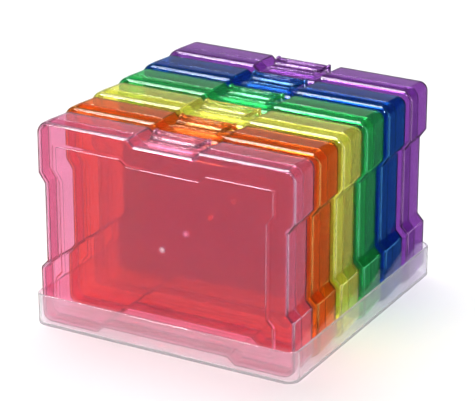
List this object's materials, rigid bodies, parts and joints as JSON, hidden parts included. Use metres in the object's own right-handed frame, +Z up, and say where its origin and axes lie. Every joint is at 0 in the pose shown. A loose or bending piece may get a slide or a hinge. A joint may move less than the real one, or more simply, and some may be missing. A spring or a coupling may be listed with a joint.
{
  "type": "photo keeper case set",
  "caption": "Tinted clamshell photo cases standing on edge in a low clear tray, each with a hinged lid shell, base shell and snap latch.",
  "frame": {"origin": "middle of the tray's underside, where the set rests", "axes": "+X along the length of a case, +Y from the front case to the rear case, +Z up"},
  "size_m": [0.1738, 0.1826, 0.1271],
  "materials": {
    "tray_plastic": "gloss",
    "pink_plastic": "gloss",
    "orange_plastic": "gloss",
    "yellow_plastic": "gloss",
    "green_plastic": "gloss",
    "blue_plastic": "gloss",
    "purple_plastic": "gloss"
  },
  "bodies": {
    "tray": {"tray": "tray_plastic"},
    "pink_case": {"pink_base": "pink_plastic", "pink_lid": "pink_plastic"},
    "pink_latch_body": {"pink_latch": "pink_plastic"},
    "orange_case": {"orange_base": "orange_plastic", "orange_lid": "orange_plastic"},
    "orange_latch_body": {"orange_latch": "orange_plastic"},
    "yellow_case": {"yellow_base": "yellow_plastic", "yellow_lid": "yellow_plastic"},
    "yellow_latch_body": {"yellow_latch": "yellow_plastic"},
    "green_case": {"green_base": "green_plastic", "green_lid": "green_plastic"},
    "green_latch_body": {"green_latch": "green_plastic"},
    "blue_case": {"blue_base": "blue_plastic", "blue_lid": "blue_plastic"},
    "blue_latch_body": {"blue_latch": "blue_plastic"},
    "purple_case": {"purple_base": "purple_plastic", "purple_lid": "purple_plastic"},
    "purple_latch_body": {"purple_latch": "purple_plastic"}
  },
  "joints": [
    {"name": "pink_lift", "type": "slide", "parent": "tray", "child": "pink_case", "axis": [0, 0, 1], "range_m": [0, 0.14]},
    {"name": "pink_latch_hinge", "type": "hinge", "parent": "pink_case", "child": "pink_latch_body", "pos_m": [0, -0.0646, 0.12495], "axis": [-1, 0, 0], "range_deg": [0, 75]},
    {"name": "orange_lift", "type": "slide", "parent": "tray", "child": "orange_case", "axis": [0, 0, 1], "range_m": [0, 0.14]},
    {"name": "orange_latch_hinge", "type": "hinge", "parent": "orange_case", "child": "orange_latch_body", "pos_m": [0, -0.0352, 0.12495], "axis": [-1, 0, 0], "range_deg": [0, 75]},
    {"name": "yellow_lift", "type": "slide", "parent": "tray", "child": "yellow_case", "axis": [0, 0, 1], "range_m": [0, 0.14]},
    {"name": "yellow_latch_hinge", "type": "hinge", "parent": "yellow_case", "child": "yellow_latch_body", "pos_m": [0, -0.0058, 0.12495], "axis": [-1, 0, 0], "range_deg": [0, 75]},
    {"name": "green_lift", "type": "slide", "parent": "tray", "child": "green_case", "axis": [0, 0, 1], "range_m": [0, 0.14]},
    {"name": "green_latch_hinge", "type": "hinge", "parent": "green_case", "child": "green_latch_body", "pos_m": [0, 0.0236, 0.12495], "axis": [-1, 0, 0], "range_deg": [0, 75]},
    {"name": "blue_lift", "type": "slide", "parent": "tray", "child": "blue_case", "axis": [0, 0, 1], "range_m": [0, 0.14]},
    {"name": "blue_latch_hinge", "type": "hinge", "parent": "blue_case", "child": "blue_latch_body", "pos_m": [0, 0.053, 0.12495], "axis": [-1, 0, 0], "range_deg": [0, 75]},
    {"name": "purple_lift", "type": "slide", "parent": "tray", "child": "purple_case", "axis": [0, 0, 1], "range_m": [0, 0.14]},
    {"name": "purple_latch_hinge", "type": "hinge", "parent": "purple_case", "child": "purple_latch_body", "pos_m": [0, 0.0838, 0.12495], "axis": [-1, 0, 0], "range_deg": [0, 75]}
  ]
}
